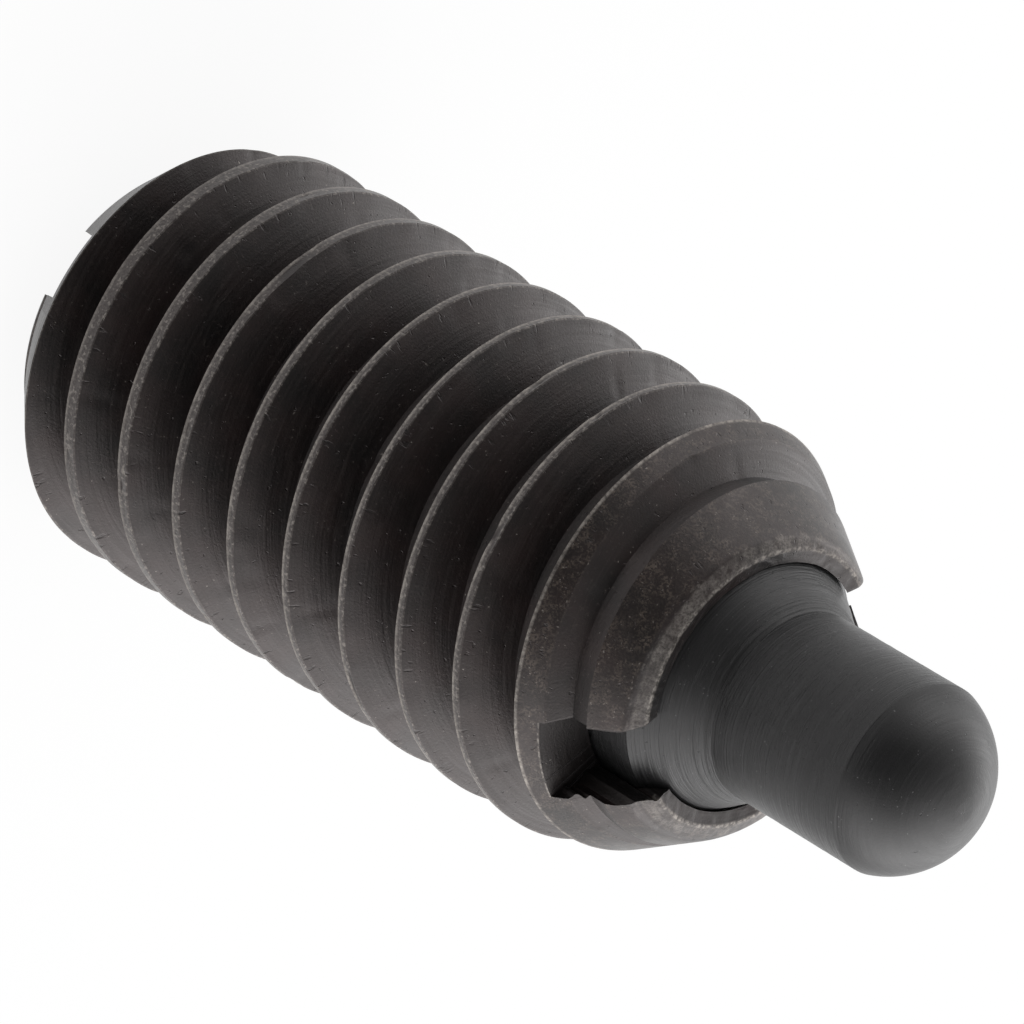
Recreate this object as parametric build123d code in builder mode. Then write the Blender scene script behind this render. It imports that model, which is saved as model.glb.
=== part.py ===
"""Spring plunger: a slotted, threaded body with a spring-loaded, round-ended nose.

The screw axis is Z. The part stands on its slotted rear end, with the nose up.
"""

import os
from math import radians, tan

from build123d import *

os.makedirs("parts", exist_ok=True)

# ---- Driving dimensions, in millimetres and degrees ----

# Thread: 5/16-18 UNC, right-hand
MAJOR_DIAMETER = 7.80
PITCH = 25.4 / 18
CREST_FLAT = 0.26
THREAD_DEPTH = 0.82
FLANK_ANGLE = 30

# Body
BODY_LENGTH = 15.08
REAR_CHAMFER_ANGLE = 38.5  # from the axis
REAR_FACE_RADIUS = 3.02
NOSE_CHAMFER_ANGLE = 30
NOSE_OFFSET = (-0.08, -0.06)  # this chamfer was turned a little off the thread's axis

# Front rim, rolled inwards over the collar
RIM_OUTER_RADIUS = 2.70
RIM_ROLL = 0.11  # the rim's outer edge lies this far behind its crown
RIM_CROWN_RADIUS = 2.45
RIM_INNER_RADIUS = 2.20
RIM_DISH = 0.05  # the rim's inner edge lies this far behind its crown
THROAT_DEPTH = 0.52  # where the bore begins to close in, behind the crown

# Blind bore, with the drill's point in its floor
BORE_RADIUS = 2.50
BORE_FLOOR = 2.40
DRILL_POINT_RADIUS = 1.20
DRILL_POINT_ANGLE = 59

# Saw slots across the two ends. Each was sawn a little off the axis.
FRONT_SLOT_WIDTH = 1.55
FRONT_SLOT_DEPTH = 1.36
FRONT_SLOT_AZIMUTH = 38
FRONT_SLOT_OFFSET = -0.09
REAR_SLOT_WIDTH = 1.26
REAR_SLOT_DEPTH = 0.75
REAR_SLOT_AZIMUTH = -15
REAR_SLOT_OFFSET = 0.05

# Plunger
NOSE_PROJECTION = 4.78
PIN_RADIUS = 1.715
SHOULDER_TOP = 15.69
SHOULDER_BASE = 14.72
SHOULDER_BASE_RADIUS = 2.34
COLLAR_RADIUS = 2.44
COLLAR_TOP = 14.60
COLLAR_LENGTH = 2.40
COLLAR_EDGE = 0.15

# Spring. Its round wire is drawn with four flats, to keep the long helix light.
WIRE_DIAMETER = 0.55
WIRE_SIDES = 4
COIL_RADIUS = 1.85
ACTIVE_COILS = 4
CLOSED_PITCH = 0.58  # of the one dead coil at each end

# ---- Derived sizes ----

major_radius = MAJOR_DIAMETER / 2
root_radius = major_radius - THREAD_DEPTH
flank_slope = tan(radians(FLANK_ANGLE))
rear_chamfer = (major_radius - REAR_FACE_RADIUS) / tan(radians(REAR_CHAMFER_ANGLE))
nose_slope = tan(radians(NOSE_CHAMFER_ANGLE))
roll_slope = RIM_ROLL / (RIM_OUTER_RADIUS - RIM_CROWN_RADIUS)
turning_radius = major_radius + 1.0  # the turned outlines reach this far, outside the blank
tip_height = BODY_LENGTH + NOSE_PROJECTION
collar_base = COLLAR_TOP - COLLAR_LENGTH
spring_length = collar_base - BORE_FLOOR


def nose_height(radius):
    """How high the cone of the nose chamfer lies at a radius from its own axis."""
    return BODY_LENGTH - RIM_ROLL + (RIM_OUTER_RADIUS - radius) / nose_slope


# ---- Threaded body ----

# The thread is one groove along a helix that starts and ends outside the blank.
CUTTER_OVERLAP = 0.10
GROOVE_TURNS = 13.3
groove_start = -1.5 * PITCH
root_half = (PITCH - CREST_FLAT) / 2 - THREAD_DEPTH * flank_slope
mouth_half = root_half + (THREAD_DEPTH + CUTTER_OVERLAP) * flank_slope
mouth_radius = major_radius + CUTTER_OVERLAP

with BuildPart() as threaded_body:
    Cylinder(major_radius, BODY_LENGTH, align=(Align.CENTER, Align.CENTER, Align.MIN))

    with BuildLine() as groove_path:
        Helix(PITCH, GROOVE_TURNS * PITCH, root_radius, center=(0, 0, groove_start))
    with BuildSketch(Plane.XZ):
        with BuildLine():
            Polyline(
                (root_radius, groove_start - root_half),
                (mouth_radius, groove_start - mouth_half),
                (mouth_radius, groove_start + mouth_half),
                (root_radius, groove_start + root_half),
                close=True,
            )
        make_face()
    sweep(path=groove_path.line, is_frenet=True, mode=Mode.SUBTRACT)

    # Chamfers at the two ends, where the thread runs out, and the roll of the front rim
    with BuildSketch(Plane.XZ):
        with BuildLine():
            Polyline(
                (0, 0),
                (REAR_FACE_RADIUS, 0),
                (major_radius, rear_chamfer),
                (turning_radius, rear_chamfer),
                (turning_radius, BODY_LENGTH - roll_slope * (turning_radius - RIM_CROWN_RADIUS)),
                (RIM_CROWN_RADIUS, BODY_LENGTH),
                (0, BODY_LENGTH),
                close=True,
            )
        make_face()
    revolve(axis=Axis.Z, mode=Mode.INTERSECT)
    with BuildSketch(Plane(origin=(*NOSE_OFFSET, 0), z_dir=(0, -1, 0), x_dir=(1, 0, 0))):
        with BuildLine():
            Polyline(
                (0, 0),
                (turning_radius, 0),
                (turning_radius, nose_height(turning_radius)),
                (RIM_CROWN_RADIUS, nose_height(RIM_CROWN_RADIUS)),
                (0, nose_height(RIM_CROWN_RADIUS)),
                close=True,
            )
        make_face()
    revolve(axis=Axis((*NOSE_OFFSET, 0), (0, 0, 1)), mode=Mode.INTERSECT)

    # Blind bore, closed in at the front by the rolled rim
    with BuildSketch(Plane.XZ):
        with BuildLine():
            Polyline(
                (0, BORE_FLOOR - DRILL_POINT_RADIUS / tan(radians(DRILL_POINT_ANGLE))),
                (DRILL_POINT_RADIUS, BORE_FLOOR),
                (BORE_RADIUS, BORE_FLOOR),
                (BORE_RADIUS, BODY_LENGTH - THROAT_DEPTH),
                (RIM_INNER_RADIUS, BODY_LENGTH - RIM_DISH),
                (RIM_CROWN_RADIUS, BODY_LENGTH),
                (0, BODY_LENGTH),
                close=True,
            )
        make_face()
    revolve(axis=Axis.Z, mode=Mode.SUBTRACT)

    # Saw slots
    with BuildSketch(Plane.XY.offset(BODY_LENGTH)):
        with Locations(Rotation(0, 0, FRONT_SLOT_AZIMUTH) * Location((0, FRONT_SLOT_OFFSET))):
            Rectangle(3 * MAJOR_DIAMETER, FRONT_SLOT_WIDTH)
    extrude(amount=-FRONT_SLOT_DEPTH, mode=Mode.SUBTRACT)
    with BuildSketch(Plane.XY):
        with Locations(Rotation(0, 0, REAR_SLOT_AZIMUTH) * Location((0, REAR_SLOT_OFFSET))):
            Rectangle(3 * MAJOR_DIAMETER, REAR_SLOT_WIDTH)
    extrude(amount=REAR_SLOT_DEPTH, mode=Mode.SUBTRACT)

threaded_body.part.label = "threaded_body"
export_step(threaded_body.part, "parts/threaded_body.step")

# ---- Plunger: collar, conical shoulder and round-ended pin, turned as one ----

with BuildPart() as plunger:
    with BuildSketch(Plane.XZ):
        with BuildLine():
            Polyline(
                (0, tip_height - PIN_RADIUS),
                (0, collar_base),
                (COLLAR_RADIUS - COLLAR_EDGE, collar_base),
                (COLLAR_RADIUS, collar_base + COLLAR_EDGE),
                (COLLAR_RADIUS, COLLAR_TOP),
                (SHOULDER_BASE_RADIUS, SHOULDER_BASE),
                (PIN_RADIUS, SHOULDER_TOP),
                (PIN_RADIUS, tip_height - PIN_RADIUS),
                close=True,
            )
        make_face()
        with BuildLine():
            CenterArc((0, tip_height - PIN_RADIUS), PIN_RADIUS, 0, 90)
            Line((0, tip_height), (0, tip_height - PIN_RADIUS))
            Line((0, tip_height - PIN_RADIUS), (PIN_RADIUS, tip_height - PIN_RADIUS))
        make_face()
    revolve(axis=Axis.Z)

plunger.part.label = "plunger"
export_step(plunger.part, "parts/plunger.step")

# ---- Coil spring, with one closed coil ground flat at each end ----

active_length = spring_length - 2 * CLOSED_PITCH
active_pitch = active_length / ACTIVE_COILS
active_base = BORE_FLOOR + CLOSED_PITCH
active_top = collar_base - CLOSED_PITCH

with BuildPart() as coil_spring:
    with BuildLine() as coil_path:
        Helix(CLOSED_PITCH, CLOSED_PITCH, COIL_RADIUS, center=(0, 0, BORE_FLOOR))
        Helix(active_pitch, active_length, COIL_RADIUS, center=(0, 0, active_base))
        Helix(CLOSED_PITCH, CLOSED_PITCH, COIL_RADIUS, center=(0, 0, active_top))
    with BuildSketch(Plane.XZ):
        with Locations((COIL_RADIUS, BORE_FLOOR)):
            RegularPolygon(WIRE_DIAMETER / 2, WIRE_SIDES)
    sweep(path=coil_path.line, is_frenet=True)

    # Both ends are ground square
    with BuildSketch(Plane.XY.offset(BORE_FLOOR)):
        Circle(BORE_RADIUS)
    extrude(amount=spring_length, mode=Mode.INTERSECT)

coil_spring.part.label = "coil_spring"
export_step(coil_spring.part, "parts/coil_spring.step")
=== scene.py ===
"""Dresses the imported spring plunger: finer pieces, their steels, the studio's light and the camera."""

import math

import bmesh
import bpy
import numpy as np
from mathutils import Matrix, Vector


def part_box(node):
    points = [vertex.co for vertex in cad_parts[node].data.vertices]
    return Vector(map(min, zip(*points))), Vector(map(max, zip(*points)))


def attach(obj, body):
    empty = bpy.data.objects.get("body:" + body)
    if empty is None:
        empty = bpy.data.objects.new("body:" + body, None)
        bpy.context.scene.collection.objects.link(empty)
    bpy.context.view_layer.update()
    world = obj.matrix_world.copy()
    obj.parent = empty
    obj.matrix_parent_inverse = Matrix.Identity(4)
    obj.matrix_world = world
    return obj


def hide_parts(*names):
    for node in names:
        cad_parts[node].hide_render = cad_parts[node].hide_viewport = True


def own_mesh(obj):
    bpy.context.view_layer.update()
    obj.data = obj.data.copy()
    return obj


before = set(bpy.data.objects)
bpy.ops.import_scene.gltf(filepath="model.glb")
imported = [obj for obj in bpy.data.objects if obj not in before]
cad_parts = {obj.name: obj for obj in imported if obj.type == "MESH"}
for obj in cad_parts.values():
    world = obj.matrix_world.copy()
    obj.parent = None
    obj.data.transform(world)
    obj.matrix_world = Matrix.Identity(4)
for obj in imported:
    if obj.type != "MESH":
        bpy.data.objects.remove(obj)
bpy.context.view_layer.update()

MM = 0.001
TAU = 2 * math.pi

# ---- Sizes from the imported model, in millimetres ----

body_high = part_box("threaded_body")[1] / MM
plunger_low, plunger_high = (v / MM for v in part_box("plunger"))
spring_low, spring_high = (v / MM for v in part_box("coil_spring"))

# The visual pieces stay this far inside the solids' box
SKIN = 0.004

major_radius = body_high.x - SKIN
body_length = body_high.z
tip_height = plunger_high.z - SKIN
collar_base = plunger_low.z
collar_radius = plunger_high.x - SKIN
bore_floor = spring_low.z

# ---- Sizes shared with the solids, in millimetres and degrees ----

PITCH = 25.4 / 18
THREAD_DEPTH = 0.82
FLANK_SLOPE = math.tan(math.radians(30))
REAR_CHAMFER_SLOPE = math.tan(math.radians(38.5))
REAR_FACE_RADIUS = 3.02
NOSE_CHAMFER_SLOPE = math.tan(math.radians(30))
NOSE_OFFSET = (-0.08, -0.06)
RIM_OUTER_RADIUS = 2.70
RIM_ROLL = 0.11
RIM_CROWN_RADIUS = 2.45
RIM_INNER_RADIUS = 2.20
RIM_DISH = 0.05
THROAT_DEPTH = 0.52
BORE_RADIUS = 2.50
DRILL_POINT_RADIUS = 1.20
DRILL_POINT_SLOPE = math.tan(math.radians(59))
FRONT_SLOT = {"width": 1.55, "depth": 1.36, "azimuth": math.radians(38), "offset": -0.09}
REAR_SLOT = {"width": 1.26, "depth": 0.75, "azimuth": math.radians(-15), "offset": 0.05}
PIN_RADIUS = 1.715
SHOULDER_TOP = 15.69
SHOULDER_BASE = 14.72
SHOULDER_BASE_RADIUS = 2.34
COLLAR_TOP = 14.60
COLLAR_EDGE = 0.15
WIRE_RADIUS = 0.275
COIL_RADIUS = 1.85
ACTIVE_COILS = 4
CLOSED_PITCH = 0.58

root_radius = major_radius - THREAD_DEPTH
nose_top = body_length - RIM_ROLL


# ---- Mesh helpers ----


# In millimetres: vertices nearer than the first are merged, and edges shorter than the second dissolved
MERGE_DISTANCE = 0.0004
SHORTEST_EDGE = 0.0002


def make_mesh(name, vertices, faces):
    """A mesh object from vertices in millimetres."""
    mesh = bpy.data.meshes.new(name)
    mesh.from_pydata((np.asarray(vertices, float) * MM).tolist(), [], faces)
    mesh.validate()
    made = bpy.data.objects.new(name, mesh)
    bpy.context.scene.collection.objects.link(made)
    return made


def grid_faces(rows, columns, closed):
    """Quads between the rows of a grid. closed joins the last column to the first."""
    faces = []
    for i in range(rows - 1):
        for j in range(columns if closed else columns - 1):
            k = (j + 1) % columns
            faces.append((i * columns + j, i * columns + k, (i + 1) * columns + k, (i + 1) * columns + j))
    return faces


def closed_rings(name, rings, low, high):
    """A closed mesh of rings of points about Z that run up, with one middle point at each end."""
    rings = np.asarray(rings, float)
    rows, columns, _ = rings.shape
    vertices = rings.reshape(-1, 3).tolist() + [(0, 0, low), (0, 0, high)]
    faces = grid_faces(rows, columns, True)
    last = (rows - 1) * columns
    for j in range(columns):
        k = (j + 1) % columns
        faces.append((rows * columns, k, j))
        faces.append((rows * columns + 1, last + j, last + k))
    return make_mesh(name, vertices, faces)


def lathe(name, profile, segments):
    """A closed solid of revolution about Z. The profile runs up, from one end's middle to the other's."""
    angles = np.arange(segments) * TAU / segments
    rings = [np.stack([r * np.cos(angles), r * np.sin(angles), z + 0 * angles], -1) for r, z in profile[1:-1]]
    return closed_rings(name, rings, profile[0][1], profile[-1][1])


def cut(target, tool, operation):
    """Applies one boolean to target and deletes the tool."""
    modifier = target.modifiers.new("cut", "BOOLEAN")
    modifier.operation = operation
    modifier.object = tool
    modifier.solver = "MANIFOLD"
    bpy.context.view_layer.update()
    depsgraph = bpy.context.evaluated_depsgraph_get()
    result = bpy.data.meshes.new_from_object(target.evaluated_get(depsgraph))
    target.modifiers.clear()
    target.data = result
    bpy.data.objects.remove(tool)


def smooth_with_creases(piece, angle):
    """Smooth shading, apart from edges that turn by more than the angle, in degrees."""
    built = bmesh.new()
    built.from_mesh(piece.data)
    bmesh.ops.remove_doubles(built, verts=built.verts, dist=MERGE_DISTANCE * MM)
    bmesh.ops.dissolve_degenerate(built, edges=built.edges, dist=SHORTEST_EDGE * MM)
    for face in built.faces:
        face.smooth = True
    for edge in built.edges:
        edge.smooth = len(edge.link_faces) == 2 and edge.calc_face_angle() < math.radians(angle)
    built.to_mesh(piece.data)
    built.free()


def lattice_noise(seed, *axes):
    """Smooth seeded noise between -1 and 1 on one, two or three axes given in cells."""
    axes = [np.asarray(a, float) for a in np.broadcast_arrays(*axes)]
    cells = [np.floor(a).astype(np.int64) for a in axes]
    parts = [a - c for a, c in zip(axes, cells)]
    eased = [p * p * (3 - 2 * p) for p in parts]
    total = np.zeros(axes[0].shape)
    for corner in range(2 ** len(axes)):
        weight = np.ones(axes[0].shape)
        key = np.full(axes[0].shape, seed * 7919 + 12345, np.int64)
        for n, (cell, ease) in enumerate(zip(cells, eased)):
            step = corner >> n & 1
            weight = weight * (ease if step else 1 - ease)
            key = (key * 1103515245 + (cell + step) * (2654435761 + 97 * n)) & 0x7FFFFFFF
            key = (key ^ (key >> 13)) * 1274126177 & 0x7FFFFFFF
        total += weight * ((key >> 7) % 65536 / 32767.5 - 1)
    return total


# ---- Threaded body ----

COLUMNS_PER_TURN = 300
CREST_STEPS = 3
FLANK_STEPS = 6
ROOT_STEPS = 3
SPARE_TURNS = 1.6
CREST_START = -0.07  # of the crest's rear edge, which runs true; the other edge is worn back towards the nose
REAR_CREST_FLAT = 0.29
FRONT_CREST_FLAT = 0.12
CREST_TAPER = 7.5  # mm from the rear face, where the crest has thinned out


def thread_profile():
    """One pitch of the thread, from crest to crest, as rows of the surface and the share of the way over it."""
    rows = [("crest", n / CREST_STEPS) for n in range(CREST_STEPS)]
    rows += [("front", n / FLANK_STEPS) for n in range(FLANK_STEPS)]
    rows += [("root", n / ROOT_STEPS) for n in range(ROOT_STEPS)]
    rows += [("back", n / FLANK_STEPS) for n in range(FLANK_STEPS)]
    return rows


def threaded_rod(name):
    """A rod longer than the body, with the whole thread and its worn crests."""
    rows = thread_profile()
    turns = body_length / PITCH + 2 * SPARE_TURNS
    columns = int(turns * COLUMNS_PER_TURN)
    turn = np.arange(columns + 1) / COLUMNS_PER_TURN - SPARE_TURNS
    angle = turn * TAU
    along = np.clip(turn * PITCH / CREST_TAPER, 0, 1)
    crest = REAR_CREST_FLAT + (FRONT_CREST_FLAT - REAR_CREST_FLAT) * along
    crest = crest + 0.012 * lattice_noise(1, turn * 4)
    ragged = 0.014 * lattice_noise(2, turn * 60)  # of the crest's front edge only
    flank = THREAD_DEPTH * FLANK_SLOPE
    root = PITCH - crest - 2 * flank
    vertices = []
    for kind, share in rows:
        if kind == "crest":
            radius, offset = major_radius + 0 * turn, (crest + ragged) * share
        elif kind == "front":
            radius, offset = major_radius - THREAD_DEPTH * share, crest + ragged * (1 - share) ** 8 + flank * share
        elif kind == "root":
            radius, offset = root_radius + 0 * turn, crest + flank + root * share
        else:
            radius, offset = root_radius + THREAD_DEPTH * share, crest + flank + root + flank * share
        offset = offset + CREST_START
        rough = 0.002 * lattice_noise(3, turn * 50, offset * 9, radius * 6)
        nick = np.clip(lattice_noise(4, turn * 45, offset * 5) - 0.62, 0, 1) * 0.10
        depth = (np.abs(rough) if kind == "crest" else rough) + nick
        radius = radius - depth * (0.5 if kind == "root" else 1)
        vertices.append(np.stack([radius * np.cos(angle), radius * np.sin(angle), turn * PITCH + offset], 1))
    grid = np.array(vertices)  # rows of the profile, by columns along the helix
    count = len(rows)
    flat = grid.transpose(1, 0, 2).reshape(-1, 3)
    faces = []
    for i in range(columns):
        for j in range(count - 1):
            a = i * count + j
            faces.append((a, a + count, a + count + 1, a + 1))
    # The last row of one turn meets the first row of the next turn
    for i in range(columns - COLUMNS_PER_TURN):
        a = i * count + count - 1
        b = (i + COLUMNS_PER_TURN) * count
        faces.append((a, a + count, b + count, b))
    rod = make_mesh(name, flat, faces)
    close_ends(rod)
    return rod


def close_ends(piece):
    """Caps the two open spiral ends with a fan to the axis."""
    built = bmesh.new()
    built.from_mesh(piece.data)
    open_edges = [e for e in built.edges if len(e.link_faces) == 1]
    middle = body_length / 2 * MM
    for low in (True, False):
        edges = [e for e in open_edges if (e.verts[0].co.z < middle) == low]
        height = sum(e.verts[0].co.z for e in edges) / len(edges)
        centre = built.verts.new((0, 0, height))
        for e in edges:
            loop = e.link_loops[0]
            built.faces.new((loop.link_loop_next.vert, loop.vert, centre))
    bmesh.ops.recalc_face_normals(built, faces=built.faces)
    built.to_mesh(piece.data)
    built.free()


BLANK_COLUMNS = 360
BORE_COLUMNS = 240
SLOT_STATIONS = 400
RIM_ROUNDING = 0.016
CONE_ROUNDING = 0.035


def soft_min(first, second, width):
    """The lower of two heights, with the edge between them rounded over."""
    low = np.minimum(first, second)
    return low - width * np.log(np.exp((low - first) / width) + np.exp((low - second) / width))


def blank(name):
    """The turned outline that the thread is cut back to. The nose chamfer lies on its own axis."""
    angles = np.arange(BLANK_COLUMNS) * TAU / BLANK_COLUMNS
    across, along = np.cos(angles), np.sin(angles)
    rear_chamfer = (major_radius - REAR_FACE_RADIUS) / REAR_CHAMFER_SLOPE
    spare = major_radius + 0.3
    roll_slope = RIM_ROLL / (RIM_OUTER_RADIUS - RIM_CROWN_RADIUS)
    dish_slope = RIM_DISH / (RIM_CROWN_RADIUS - RIM_INNER_RADIUS)
    rings = [(REAR_FACE_RADIUS * n / 4, 0) for n in range(1, 5)]
    rings += [(major_radius, rear_chamfer), (spare, rear_chamfer)]
    coarse = np.linspace(spare, 3.0, 12)[:-1]
    fine = np.linspace(3.0, RIM_INNER_RADIUS - 0.06, 46)
    for radius in np.concatenate([coarse, fine]):
        x, y = radius * across, radius * along
        own_radius = np.hypot(x - NOSE_OFFSET[0], y - NOSE_OFFSET[1])
        cone = nose_top + (RIM_OUTER_RADIUS - own_radius) / NOSE_CHAMFER_SLOPE
        roll = body_length - roll_slope * (radius - RIM_CROWN_RADIUS) + 0 * angles
        dish = body_length + dish_slope * (radius - RIM_CROWN_RADIUS) + 0 * angles
        rim = soft_min(roll, dish, RIM_ROUNDING) - 0.012 * np.abs(lattice_noise(31, x * 6, y * 6))
        rings.append((radius, soft_min(cone, rim, CONE_ROUNDING)))
    rings = [np.stack([r * across, r * along, z + 0 * angles], -1) for r, z in rings]
    return closed_rings(name, rings, 0, body_length - RIM_DISH)


def bore(name):
    """The blind bore, the rolled rim's inside and its dished top."""
    profile = [(0, bore_floor - DRILL_POINT_RADIUS / DRILL_POINT_SLOPE)]
    profile += [(DRILL_POINT_RADIUS, bore_floor), (BORE_RADIUS, bore_floor)]
    profile += [(BORE_RADIUS, body_length - THROAT_DEPTH)]
    profile += [(RIM_INNER_RADIUS, body_length - RIM_DISH), (RIM_INNER_RADIUS, body_length + 1)]
    profile += [(0, body_length + 1)]
    return lathe(name, profile, BORE_COLUMNS)


def slot_tool(name, slot, low, high):
    """A prism that cuts one driver slot. Its two walls wander as a saw's do, by rough_high and rough_low."""
    half = slot["width"] / 2
    reach = major_radius + 1
    stations = np.linspace(-reach, reach, SLOT_STATIONS)
    low_wall = slot["offset"] - half - slot["rough_low"](stations)
    high_wall = slot["offset"] + half + slot["rough_high"](stations)
    along = np.append(stations, stations[::-1])
    across = np.append(low_wall, high_wall[::-1])
    turn_x, turn_y = math.cos(slot["azimuth"]), math.sin(slot["azimuth"])
    x, y = along * turn_x - across * turn_y, along * turn_y + across * turn_x
    count = len(along)
    vertices = [(a, b, z) for z in (low, high) for a, b in zip(x, y)]
    faces = [tuple(reversed(range(count))), tuple(range(count, 2 * count))]
    faces += [(n, (n + 1) % count, count + (n + 1) % count, count + n) for n in range(count)]
    return make_mesh(name, vertices, faces)


def sawn(seed):
    """A fine waver of the wall, in millimetres."""
    return lambda along: 0.006 * lattice_noise(seed, along * 9)


# Burrs, under 0, and notches that the saw tore in one wall: place along the slot, half length and depth
TORN_EDGE = [(-3.14, 0.07, -0.07), (-3.02, 0.05, 0.08), (-2.86, 0.08, 0.03), (-2.60, 0.15, -0.08), (-2.34, 0.06, 0.04)]


def torn(along):
    """The wall whose edge the saw has torn, on one side of the bore."""
    ragged = 0.012 * lattice_noise(21, along * 11) + 0.006 * lattice_noise(22, along * 30)
    for middle, half_length, depth in TORN_EDGE:
        ragged = ragged + depth * np.exp(-(((along - middle) / half_length) ** 2))
    return ragged


FRONT_SLOT.update(rough_low=torn, rough_high=sawn(24))
REAR_SLOT.update(rough_low=sawn(25), rough_high=sawn(26))

body = threaded_rod("threaded_body_detail")
cut(body, blank("blank"), "INTERSECT")
cut(body, bore("bore"), "DIFFERENCE")
front_floor = body_length - FRONT_SLOT["depth"]
cut(body, slot_tool("front_slot", FRONT_SLOT, front_floor, body_length + 1), "DIFFERENCE")
cut(body, slot_tool("rear_slot", REAR_SLOT, -1, REAR_SLOT["depth"]), "DIFFERENCE")
smooth_with_creases(body, 22)

# ---- Plunger ----

TIP_FACET = 0.20  # radius of the flat at the very tip
TIP_CROWN = 0.006  # left above the dome for that flat

# The pin is a shade thinner than its solid, so that the ball of its end meets it in a seam
WORN_PIN_RADIUS = 1.670
DOME_RADIUS = 1.745
dome_centre = tip_height - TIP_CROWN - DOME_RADIUS
seam_height = dome_centre + math.sqrt(DOME_RADIUS**2 - WORN_PIN_RADIUS**2)
shoulder_slope = (SHOULDER_TOP - SHOULDER_BASE) / (SHOULDER_BASE_RADIUS - PIN_RADIUS)
junction_height = SHOULDER_BASE + (SHOULDER_BASE_RADIUS - WORN_PIN_RADIUS) * shoulder_slope


def plunger_profile():
    """The turned outline from the collar's underside to the tip."""
    points = [(0, collar_base)]
    points += [((collar_radius - COLLAR_EDGE) * n / 6, collar_base) for n in range(1, 7)]
    points += [(collar_radius, collar_base + COLLAR_EDGE)]
    points += [(collar_radius, z) for z in np.linspace(collar_base + COLLAR_EDGE, COLLAR_TOP, 14)[1:]]
    points += [(SHOULDER_BASE_RADIUS, SHOULDER_BASE)]
    for share in np.linspace(0, 1, 30)[1:]:
        radius = SHOULDER_BASE_RADIUS + (WORN_PIN_RADIUS - SHOULDER_BASE_RADIUS) * share
        height = SHOULDER_BASE + (junction_height - SHOULDER_BASE) * share
        radius += 0.006 * float(lattice_noise(11, height * 16))
        points.append((radius, height))
    for height in np.linspace(junction_height, seam_height, 76)[1:-1]:
        ring = math.exp(-(((height - junction_height - 0.10) / 0.22) ** 2))
        radius = WORN_PIN_RADIUS - 0.006 * ring * (0.5 + 0.5 * float(lattice_noise(12, height * 30)))
        radius -= 0.0015 * float(lattice_noise(13, height * 14))
        points.append((radius, height))
    for angle in np.linspace(math.acos(WORN_PIN_RADIUS / DOME_RADIUS), math.pi / 2, 44):
        radius = DOME_RADIUS * math.cos(angle)
        if radius > TIP_FACET:
            points.append((radius, dome_centre + DOME_RADIUS * math.sin(angle)))
    flat = dome_centre + math.sqrt(DOME_RADIUS**2 - TIP_FACET**2)
    points += [(TIP_FACET, flat), (TIP_FACET * 0.5, flat + 0.004), (0, flat + 0.005)]
    return points


PLUNGER_COLUMNS = 300

plunger = lathe("plunger_detail", plunger_profile(), PLUNGER_COLUMNS)
smooth_with_creases(plunger, 12)

# ---- Coil spring ----


def spring_mesh(name):
    """Round wire on a helix, with a closed coil ground flat at each end."""
    length = spring_high.z - spring_low.z
    active = length - 2 * CLOSED_PITCH
    steps_per_turn, ring = 72, 20
    turns = np.arange(0, (ACTIVE_COILS + 2) * steps_per_turn + 1) / steps_per_turn
    height = np.interp(
        turns,
        [0, 1, 1 + ACTIVE_COILS, 2 + ACTIVE_COILS],
        [0, CLOSED_PITCH, CLOSED_PITCH + active, length],
    )
    vertices = []
    for turn, z in zip(turns, height + spring_low.z):
        angle = turn * TAU
        for n in range(ring):
            a = n * TAU / ring
            radius = COIL_RADIUS + (WIRE_RADIUS - SKIN) * math.cos(a)
            level = z + (WIRE_RADIUS - SKIN) * math.sin(a)
            level = min(max(level, spring_low.z + SKIN), spring_high.z - SKIN)
            vertices.append((radius * math.cos(angle), radius * math.sin(angle), level))
    faces = grid_faces(len(turns), ring, True)
    last = (len(turns) - 1) * ring
    faces.append(tuple(range(ring)))
    faces.append(tuple(last + n for n in reversed(range(ring))))
    spring = make_mesh(name, vertices, faces)
    built = bmesh.new()
    built.from_mesh(spring.data)
    bmesh.ops.recalc_face_normals(built, faces=built.faces)
    built.to_mesh(spring.data)
    built.free()
    return spring


spring = spring_mesh("coil_spring_detail")
smooth_with_creases(spring, 40)

# ---- Materials ----


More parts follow.
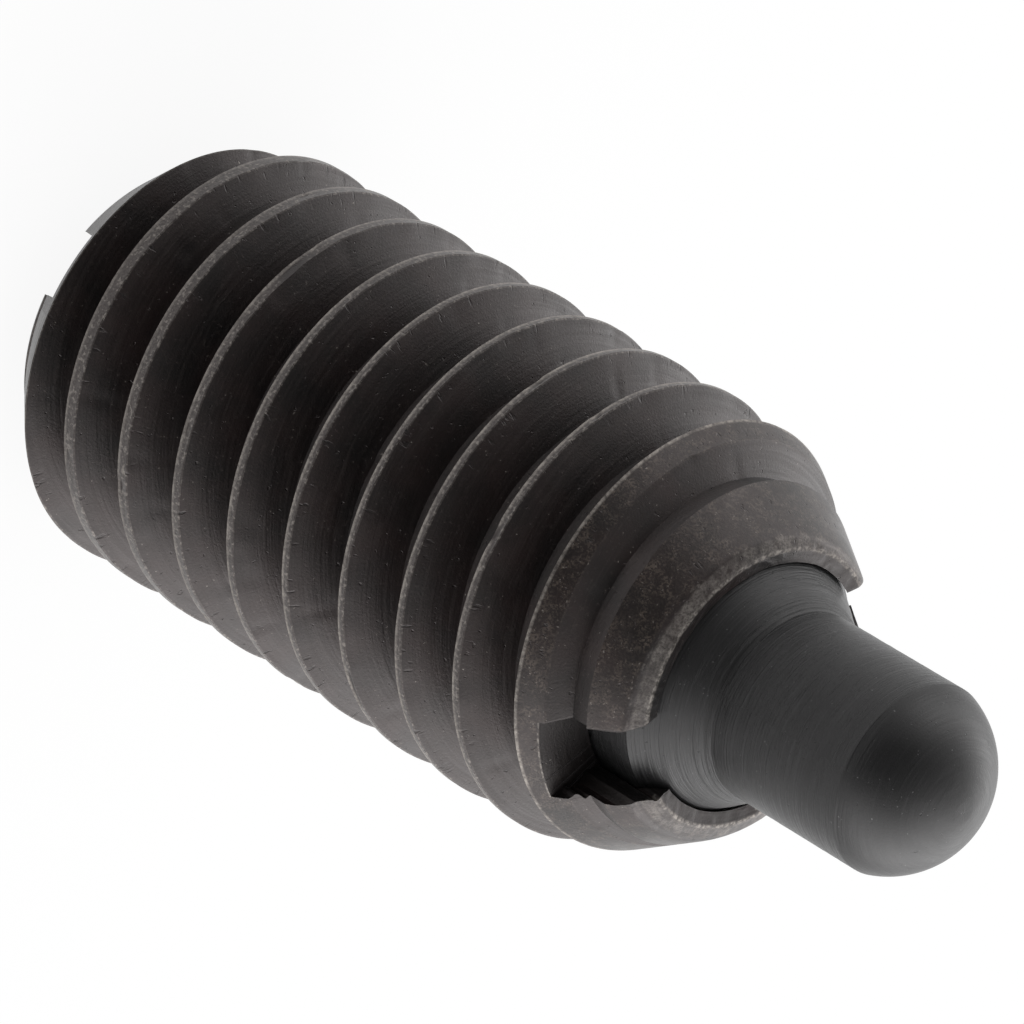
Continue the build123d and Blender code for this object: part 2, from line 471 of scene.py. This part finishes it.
class Graph:
    """Short calls for building a material's nodes."""

    def __init__(self, name):
        self.material = bpy.data.materials.new(name)
        self.material.use_nodes = True
        self.nodes = self.material.node_tree.nodes
        self.links = self.material.node_tree.links
        self.shader = self.nodes["Principled BSDF"]

    def node(self, kind, inputs=(), **settings):
        made = self.nodes.new(kind)
        for key, value in settings.items():
            setattr(made, key, value)
        for key, value in dict(inputs).items():
            self.feed(made.inputs[key], value)
        return made

    def feed(self, socket, value):
        if isinstance(value, bpy.types.NodeSocket):
            self.links.new(value, socket)
        else:
            socket.default_value = value

    def math(self, operation, *values):
        made = self.node("ShaderNodeMath", operation=operation)
        for n, value in enumerate(values):
            self.feed(made.inputs[n], value)
        return made.outputs[0]

    def ramp(self, value, low, high, to_low=0.0, to_high=1.0):
        made = self.node(
            "ShaderNodeMapRange",
            {"Value": value, "From Min": low, "From Max": high, "To Min": to_low, "To Max": to_high},
        )
        return made.outputs[0]

    def band(self, value, start, full, fade, end):
        """1 between full and fade, and 0 below start and above end."""
        return self.math("MULTIPLY", self.ramp(value, start, full), self.ramp(value, end, fade))

    def noise(self, vector, scale, detail=3.0, roughness=0.55):
        made = self.node(
            "ShaderNodeTexNoise",
            {"Vector": vector, "Scale": scale, "Detail": detail, "Roughness": roughness},
        )
        return made.outputs["Fac"]

    def mix(self, factor, first, second):
        made = self.node("ShaderNodeMix", data_type="RGBA")
        self.feed(made.inputs[0], factor)
        self.feed(made.inputs[6], first)
        self.feed(made.inputs[7], second)
        return made.outputs[2]

    def combine(self, x, y, z):
        return self.node("ShaderNodeCombineXYZ", {"X": x, "Y": y, "Z": z}).outputs[0]

    def place(self):
        """The surface point in millimetres: its vector, x, y, z, distance from the axis and azimuth in turns."""
        position = self.node("ShaderNodeTexCoord").outputs["Object"]
        scaled = self.node("ShaderNodeVectorMath", {0: position, 1: (1 / MM,) * 3}, operation="MULTIPLY").outputs[0]
        parts = self.node("ShaderNodeSeparateXYZ", {"Vector": scaled}).outputs
        x, y, z = parts[0], parts[1], parts[2]
        radius = self.math("SQRT", self.math("ADD", self.math("MULTIPLY", x, x), self.math("MULTIPLY", y, y)))
        azimuth = self.math("DIVIDE", self.math("ARCTAN2", y, x), TAU)
        return scaled, x, y, z, radius, azimuth

    def bump(self, height, distance, strength=1.0, under=None):
        inputs = {"Height": height, "Distance": distance * MM, "Strength": strength}
        if under is not None:
            inputs["Normal"] = under
        return self.node("ShaderNodeBump", inputs).outputs[0]


def body_steel():
    g = Graph("black_oxide_body")
    spot, x, y, z, radius, azimuth = g.place()
    # A whole number on each crest, and the height above the middle of the nearest crest
    winding = g.math("SUBTRACT", g.math("DIVIDE", z, PITCH), azimuth)
    coil = g.math("FLOOR", g.math("ADD", winding, 0.5))
    height = g.math("MULTIPLY", g.math("SUBTRACT", winding, coil), PITCH)
    # The marks of the tool run along the helix, fine across it
    across_flank = g.math("ADD", radius, g.math("MULTIPLY", z, 0.5))
    streak = g.combine(
        g.math("MULTIPLY", across_flank, 24.0),
        g.math("MULTIPLY", azimuth, 9.0),
        g.math("MULTIPLY", coil, 7.3),
    )
    lines = g.noise(streak, 1.0, 4.0, 0.62)
    grain = g.noise(spot, 24.0, 2.0, 0.6)
    patch = g.noise(spot, 1.1, 3.0, 0.5)
    worn = g.noise(spot, 4.5, 4.0, 0.65)
    fleck = g.noise(spot, 15.0, 2.0, 0.5)

    # Crests: rubbed grey all over, and bare along the rear edge, more so towards the nose
    below_crest = g.math("SUBTRACT", major_radius, radius)
    crest = g.ramp(below_crest, 0.030, 0.016)
    rear_edge = g.ramp(height, CREST_START + 0.07, CREST_START + 0.03)
    front_edge = g.ramp(z, 0.0, CREST_TAPER, CREST_START + REAR_CREST_FLAT, CREST_START + FRONT_CREST_FLAT)
    past_crest = g.math("SUBTRACT", height, front_edge)
    line = g.math("MULTIPLY", g.math("MULTIPLY", crest, rear_edge), g.ramp(z, 2.0, 8.0, 0.5, 0.9))
    line = g.math("MULTIPLY", line, g.ramp(fleck, 0.36, 0.56, 0.35, 1.0))
    speckled = g.math("MULTIPLY", crest, g.ramp(fleck, 0.54, 0.68, 0.0, 0.55))
    # Short tears in the flank, in front of the crest
    across_crest = g.combine(
        g.math("MULTIPLY", azimuth, 210.0),
        g.math("MULTIPLY", height, 5.0),
        g.math("MULTIPLY", coil, 5.7),
    )
    tear = g.noise(across_crest, 1.0, 2.0, 0.5)
    tears = g.math("MULTIPLY", g.ramp(tear, 0.63, 0.70), g.band(past_crest, -0.02, 0.01, 0.05, 0.13))
    tears = g.math("MULTIPLY", tears, g.ramp(patch, 0.42, 0.56))
    # Chamfers: the ridge behind each cone
    nose_x, nose_y = g.math("SUBTRACT", x, NOSE_OFFSET[0]), g.math("SUBTRACT", y, NOSE_OFFSET[1])
    nose_radius = g.math("SQRT", g.math("ADD", g.math("MULTIPLY", nose_x, nose_x), g.math("MULTIPLY", nose_y, nose_y)))
    cone = g.math("MULTIPLY", g.math("SUBTRACT", nose_top, z), NOSE_CHAMFER_SLOPE)
    under_cone = g.math("SUBTRACT", g.math("ADD", cone, RIM_OUTER_RADIUS), nose_radius)
    on_cone = g.math("MULTIPLY", g.ramp(under_cone, 0.026, 0.012), g.ramp(z, 10.0, 11.0))
    heel = g.math("ADD", g.math("MULTIPLY", z, REAR_CHAMFER_SLOPE), REAR_FACE_RADIUS)
    rear_ridge = g.band(g.math("SUBTRACT", heel, radius), 0.004, 0.010, 0.018, 0.034)
    # The thread's rear edge goes on up the nose cone, until the groove runs out
    behind = g.math("SUBTRACT", g.math("ADD", height, g.math("MULTIPLY", below_crest, FLANK_SLOPE)), CREST_START)
    cone_edge = g.math("MULTIPLY", on_cone, g.ramp(behind, 0.075, 0.035))
    cone_edge = g.math("MULTIPLY", cone_edge, g.ramp(below_crest, 0.60, 0.35))
    ridge = g.math("MAXIMUM", cone_edge, g.math("MULTIPLY", rear_ridge, 0.6))
    ridge = g.math("MULTIPLY", ridge, g.ramp(fleck, 0.35, 0.60, 0.3, 0.9))
    # Rolled rim: scuffed on its bevel, and bare in places on its crown and along its outer edge
    bevel = g.ramp(radius, RIM_CROWN_RADIUS - 0.06, RIM_CROWN_RADIUS)
    bevel = g.math("MULTIPLY", g.ramp(z, nose_top - 0.020, nose_top + 0.005), bevel)
    crown = g.band(radius, *(RIM_CROWN_RADIUS + step for step in (-0.050, -0.020, 0.025, 0.060)))
    outer = g.band(nose_radius, *(RIM_OUTER_RADIUS + step for step in (-0.06, -0.02, 0, 0.04)))
    outer = g.math("MULTIPLY", outer, g.ramp(worn, 0.50, 0.66, 0.0, 0.5))
    rim_lines = g.math("MULTIPLY", g.math("MAXIMUM", crown, outer), g.ramp(z, nose_top - 0.06, nose_top - 0.03))
    rim_lines = g.math("MULTIPLY", rim_lines, g.ramp(fleck, 0.40, 0.60, 0.15, 0.9))
    # Front slot: smooth inside, with painted shade that darkens its inside to near black, and bare along the outer edge
    # of its floor
    turn_x, turn_y = math.cos(FRONT_SLOT["azimuth"]), math.sin(FRONT_SLOT["azimuth"])
    across = g.math("SUBTRACT", g.math("MULTIPLY", y, turn_x), g.math("MULTIPLY", x, turn_y))
    from_middle = g.math("ABSOLUTE", g.math("SUBTRACT", across, FRONT_SLOT["offset"]))
    half = FRONT_SLOT["width"] / 2
    above_floor = g.ramp(z, front_floor - 0.008, front_floor - 0.002)
    in_slot = g.math("MULTIPLY", g.ramp(from_middle, half + 0.030, half + 0.015), above_floor)
    sill = g.band(z, *(front_floor - step for step in (0.035, 0.020, 0.008, 0.002)))
    sill = g.math("MULTIPLY", sill, on_cone)
    sill = g.math("MULTIPLY", sill, g.ramp(from_middle, half + 0.010, half))
    sill = g.math("MULTIPLY", sill, g.ramp(fleck, 0.42, 0.60, 0.1, 0.8))

    broken = g.ramp(worn, 0.36, 0.60, 0.40, 1.0)
    edges = g.math("MAXIMUM", g.math("MAXIMUM", line, ridge), g.math("MAXIMUM", rim_lines, sill))
    edges = g.math("MULTIPLY", edges, broken)
    scuff = g.math("MULTIPLY", g.ramp(worn, 0.36, 0.62, 0.10, 0.9), g.ramp(grain, 0.35, 0.60, 0.3, 1.0))
    scuff = g.math("MULTIPLY", g.math("MULTIPLY", bevel, scuff), 0.45)
    speck = g.math("MULTIPLY", g.ramp(fleck, 0.735, 0.775), g.ramp(patch, 0.40, 0.60, 0.15, 0.8))
    chips = g.math("MULTIPLY", g.ramp(g.noise(spot, 21.0, 2.0, 0.5), 0.68, 0.72), g.ramp(worn, 0.42, 0.60, 0.05, 0.6))
    speck = g.math("MAXIMUM", speck, g.math("MULTIPLY", chips, on_cone))
    bare = g.math("MAXIMUM", g.math("MAXIMUM", edges, speckled), g.math("MAXIMUM", scuff, speck))

    dark, brown = (0.0036, 0.0034, 0.0035, 1), (0.0135, 0.0082, 0.0078, 1)
    dusty, steel = (0.044, 0.036, 0.033, 1), (0.30, 0.275, 0.25, 1)
    rubbed, grime = (0.066, 0.058, 0.054, 1), (0.070, 0.056, 0.046, 1)
    tone = g.mix(g.ramp(patch, 0.35, 0.70), dark, brown)
    tone = g.mix(g.ramp(lines, 0.52, 0.80, 0.0, 0.28), tone, dusty)
    tone = g.mix(g.ramp(fleck, 0.58, 0.72, 0.0, 0.30), tone, dusty)
    tone = g.mix(g.math("MULTIPLY", crest, g.ramp(grain, 0.40, 0.60, 0.35, 0.95)), tone, rubbed)
    soiled = g.math("MULTIPLY", g.ramp(worn, 0.44, 0.66, 0.10, 0.9), g.ramp(grain, 0.44, 0.58, 0.05, 1.0))
    tone = g.mix(g.math("MULTIPLY", on_cone, soiled), tone, grime)
    # Painted shade: the slot's inside is darkened towards near black
    tone = g.mix(g.math("MULTIPLY", in_slot, 0.8), tone, (0.0030, 0.0026, 0.0026, 1))
    tone = g.mix(bare, tone, steel)
    tone = g.mix(tears, tone, (0.0020, 0.0018, 0.0018, 1))
    g.feed(g.shader.inputs["Base Color"], tone)
    g.feed(g.shader.inputs["Metallic"], g.math("MULTIPLY", bare, 0.55))
    rough = g.ramp(lines, 0.25, 0.75, 0.30, 0.50)
    g.feed(g.shader.inputs["Roughness"], g.math("ADD", rough, g.math("MULTIPLY", bare, 0.12)))
    g.shader.inputs["Specular Tint"].default_value = (1.0, 0.91, 0.895, 1)
    g.shader.inputs["Sheen Weight"].default_value = 0.10
    g.shader.inputs["Sheen Roughness"].default_value = 0.35
    pits = g.ramp(g.noise(spot, 9.0, 2.0, 0.5), 0.30, 0.24)
    normal = g.bump(g.math("MULTIPLY", lines, g.ramp(in_slot, 0.0, 1.0, 1.0, 0.2)), 0.008, 0.7)
    normal = g.bump(tears, -0.012, 0.8, normal)
    normal = g.bump(grain, 0.006, 0.7, normal)
    normal = g.bump(pits, -0.010, 0.8, normal)
    g.feed(g.shader.inputs["Normal"], normal)
    return g.material


def plunger_steel():
    g = Graph("black_oxide_plunger")
    spot, _, _, z, radius, azimuth = g.place()
    rings = g.noise(g.combine(g.math("MULTIPLY", z, 26.0), g.math("MULTIPLY", azimuth, 7.0), radius), 1.0, 4.0, 0.62)
    grooves = g.noise(g.combine(g.math("MULTIPLY", z, 17.0), g.math("MULTIPLY", azimuth, 3.0), 4.0), 1.0, 3.0, 0.6)
    grain = g.noise(spot, 28.0, 2.0, 0.6)
    patch = g.noise(spot, 1.8, 3.0, 0.5)
    fleck = g.noise(spot, 15.0, 2.0, 0.5)
    # The tool left deeper rings where the shoulder meets the pin, and finer ones on the dome
    junction = g.band(z, junction_height - 0.36, junction_height - 0.12, junction_height + 0.04, junction_height + 0.24)
    scored = g.math("MULTIPLY", junction, g.ramp(grooves, 0.50, 0.60, 0.0, 0.8))
    turned = g.ramp(z, seam_height - 0.02, seam_height + 0.04, 1.0, 0.35)
    tone = g.mix(g.ramp(patch, 0.35, 0.70), (0.0050, 0.0050, 0.0054, 1), (0.0090, 0.0088, 0.0094, 1))
    tone = g.mix(g.math("MULTIPLY", g.ramp(rings, 0.54, 0.76, 0.0, 0.6), turned), tone, (0.034, 0.034, 0.035, 1))
    tone = g.mix(g.math("MULTIPLY", g.ramp(fleck, 0.72, 0.77), 0.6), tone, (0.16, 0.16, 0.16, 1))
    tone = g.mix(scored, tone, (0.0020, 0.0020, 0.0020, 1))
    g.feed(g.shader.inputs["Base Color"], tone)
    rough = g.ramp(rings, 0.2, 0.8, 0.32, 0.46)
    g.feed(g.shader.inputs["Roughness"], g.math("ADD", rough, g.math("MULTIPLY", scored, 0.15)))
    g.shader.inputs["Specular Tint"].default_value = (1.0, 0.985, 0.985, 1)
    g.shader.inputs["Sheen Weight"].default_value = 0.08
    g.shader.inputs["Sheen Roughness"].default_value = 0.35
    pits = g.ramp(g.noise(spot, 10.0, 2.0, 0.5), 0.28, 0.22)
    normal = g.bump(g.math("MULTIPLY", rings, turned), 0.016, 1.0)
    normal = g.bump(scored, -0.010, 0.8, normal)
    normal = g.bump(grain, 0.003, 0.6, normal)
    normal = g.bump(pits, -0.008, 0.8, normal)
    g.feed(g.shader.inputs["Normal"], normal)
    return g.material


def spring_steel():
    g = Graph("drawn_spring_wire")
    spot = g.place()[0]
    grain = g.noise(spot, 14.0, 3.0, 0.6)
    g.feed(g.shader.inputs["Base Color"], g.mix(grain, (0.30, 0.29, 0.28, 1), (0.48, 0.47, 0.46, 1)))
    g.shader.inputs["Metallic"].default_value = 1.0
    g.feed(g.shader.inputs["Roughness"], g.ramp(grain, 0.2, 0.8, 0.28, 0.42))
    g.feed(g.shader.inputs["Normal"], g.bump(grain, 0.003, 0.5))
    return g.material


def paint(piece, material, body_name, node):
    """Gives a piece its material and its place in the model."""
    piece.data.materials.clear()
    piece.data.materials.append(material)
    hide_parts(node)
    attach(piece, body_name)


paint(body, body_steel(), "body", "threaded_body")
paint(plunger, plunger_steel(), "plunger", "plunger")
paint(spring, spring_steel(), "body", "coil_spring")

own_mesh(spring)

# ---- Floor and world ----

FLOOR_HALF = 0.6  # metres
FLOOR_WHITENESS = 0.92  # share of plain white in the floor that the camera and reflections see


def make_floor():
    half = FLOOR_HALF / MM
    floor = make_mesh("floor", [(-half, -half, 0), (half, -half, 0), (half, half, 0), (-half, half, 0)], [(0, 1, 2, 3)])
    g = Graph("pale_floor")
    g.nodes.remove(g.shader)
    paths = g.node("ShaderNodeLightPath").outputs
    mirrored = g.math("MAXIMUM", paths["Is Glossy Ray"], paths["Is Transmission Ray"])
    seen = g.math("MAXIMUM", paths["Is Camera Ray"], mirrored)
    matt = g.node("ShaderNodeBsdfDiffuse", {"Color": (0.82, 0.82, 0.82, 1)}).outputs[0]
    white = g.node("ShaderNodeEmission", {"Color": (1, 1, 1, 1), "Strength": 1.0}).outputs[0]
    blend = g.node("ShaderNodeMixShader")
    g.feed(blend.inputs[0], g.math("MULTIPLY", seen, FLOOR_WHITENESS))
    g.feed(blend.inputs[1], matt)
    g.feed(blend.inputs[2], white)
    output = next(n for n in g.nodes if n.type == "OUTPUT_MATERIAL")
    g.links.new(blend.outputs[0], output.inputs["Surface"])
    floor.data.materials.append(g.material)


# The studio's broad lights, as soft lobes of the sky: azimuth, elevation, spread in degrees and radiance
SKY_LIGHTS = {
    "back": (20, 6, 33, 2.8),
    "far": (80, 8, 29, 2.2),
    "side": (240, 8, 29, 2.3),
    "flank": (285, 8, 29, 2.6),
    "edge": (330, 6, 29, 1.5),
    "key": (300, 48, 31, 2.5),
}
SKY_LEVEL = 0.15


def make_world():
    world = bpy.data.worlds.new("studio")
    bpy.context.scene.world = world
    world.use_nodes = True
    nodes, links = world.node_tree.nodes, world.node_tree.links

    def sums(operation, first, second):
        step = nodes.new("ShaderNodeMath")
        step.operation = operation
        for socket, value in zip(step.inputs, (first, second)):
            if isinstance(value, (int, float)):
                socket.default_value = value
            else:
                links.new(value, socket)
        return step.outputs[0]

    direction = nodes.new("ShaderNodeTexCoord").outputs["Generated"]
    total = SKY_LEVEL
    for azimuth, elevation, spread, radiance in SKY_LIGHTS.values():
        turn, rise = math.radians(azimuth), math.radians(elevation)
        towards = nodes.new("ShaderNodeVectorMath")
        towards.operation = "DOT_PRODUCT"
        links.new(direction, towards.inputs[0])
        towards.inputs[1].default_value = (
            math.cos(turn) * math.cos(rise),
            math.sin(turn) * math.cos(rise),
            math.sin(rise),
        )
        sharpness = 2 / math.radians(spread) ** 2
        fall = sums("MULTIPLY", sums("SUBTRACT", towards.outputs["Value"], 1.0), sharpness)
        total = sums("ADD", sums("MULTIPLY", sums("EXPONENT", fall, 0.0), radiance), total)
    # The camera sees plain white
    seen = nodes.new("ShaderNodeLightPath").outputs["Is Camera Ray"]
    plain = sums("ADD", sums("MULTIPLY", sums("SUBTRACT", 1.0, total), seen), total)
    links.new(plain, nodes["Background"].inputs["Strength"])
    nodes["Background"].inputs["Color"].default_value = (1, 1, 1, 1)


make_floor()
make_world()

# ---- Camera ----

CAMERA_AZIMUTH = 166.66  # degrees, of the camera seen from the object
CAMERA_ELEVATION = 39.50
CAMERA_DISTANCE = 148.06  # mm, from the aim
CAMERA_AIM = (-0.462, 0.520, 9.239)  # mm
CAMERA_ROLL = -120.93  # degrees; the object lies tilted in the frame
CAMERA_LENS = 316.4  # mm
SENSOR_WIDTH = 36  # mm


def make_camera():
    azimuth, elevation = math.radians(CAMERA_AZIMUTH), math.radians(CAMERA_ELEVATION)
    back = Vector(
        (math.cos(azimuth) * math.cos(elevation), math.sin(azimuth) * math.cos(elevation), math.sin(elevation))
    )
    right = Vector((0, 0, 1)).cross(back).normalized()
    up = back.cross(right)
    roll = math.radians(CAMERA_ROLL)
    tilted_up = up * math.cos(roll) + right * math.sin(roll)
    tilted_right = tilted_up.cross(back)
    data = bpy.data.cameras.new("camera")
    data.lens = CAMERA_LENS
    data.sensor_width = SENSOR_WIDTH
    data.clip_start, data.clip_end = 0.01, 5
    camera = bpy.data.objects.new("camera", data)
    bpy.context.scene.collection.objects.link(camera)
    turn = Matrix((tilted_right, tilted_up, back)).transposed().to_4x4()
    place = (Vector(CAMERA_AIM) + back * CAMERA_DISTANCE) * MM
    camera.matrix_world = Matrix.Translation(place) @ turn
    bpy.context.scene.camera = camera


make_camera()
bpy.context.scene.view_settings.view_transform = "Standard"
